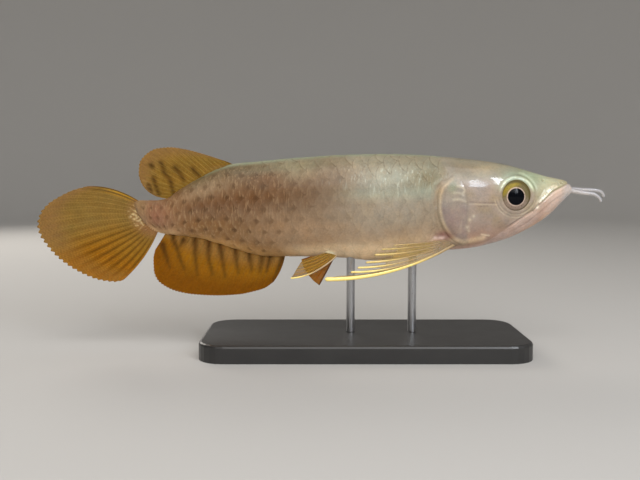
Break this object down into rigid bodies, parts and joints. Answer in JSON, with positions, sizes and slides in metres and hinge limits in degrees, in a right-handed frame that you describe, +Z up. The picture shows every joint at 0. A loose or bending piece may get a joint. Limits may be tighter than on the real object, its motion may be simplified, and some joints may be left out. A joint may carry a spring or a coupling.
{
  "type": "young asian arowana model on a display stand",
  "caption": "Life-size still model of a young asian arowana in a level swimming pose, held by a plain display stand.",
  "frame": {"origin": "on the floor, under the middle of the whole length from the tail fin's rear edge to the barbels' tips", "axes": "+X forward, towards the snout; +Y the fish's left side; +Z up"},
  "size_m": [0.2659, 0.064, 0.0949],
  "materials": {
    "body_scales": "wet, pearly scaled skin, silver in front and brown behind",
    "head_skin": "wet, smooth, pearly skin",
    "jaw_skin": "wet, smooth, pinkish skin",
    "gill_cover": "wet, smooth, pearly, mauve-grey",
    "eye": "clear and glossy, black pupil in a gold iris",
    "barbel": "wet, smooth, silver-white",
    "median_fin": "thin, translucent golden-brown membrane on rays",
    "pectoral_fin": "thin, translucent cream-yellow membrane on rays",
    "pelvic_fin": "thin, translucent golden membrane on rays",
    "stand_base": "satin, plain",
    "stand_rod": "satin"
  },
  "bodies": {
    "root": {"head": "head_skin", "lower_jaw": "jaw_skin", "gill_cover_left": "gill_cover", "gill_cover_right": "gill_cover", "eye_left": "eye", "eye_right": "eye", "barbel_left": "barbel", "barbel_right": "barbel", "trunk": "body_scales", "tail_stalk": "body_scales", "dorsal_fin": "median_fin", "anal_fin": "median_fin", "caudal_fin": "median_fin", "pectoral_fin_left": "pectoral_fin", "pectoral_fin_right": "pectoral_fin", "pelvic_fin_left": "pelvic_fin", "pelvic_fin_right": "pelvic_fin", "stand_base": "stand_base", "stand_rod_front": "stand_rod", "stand_rod_rear": "stand_rod"}
  },
  "joints": []
}
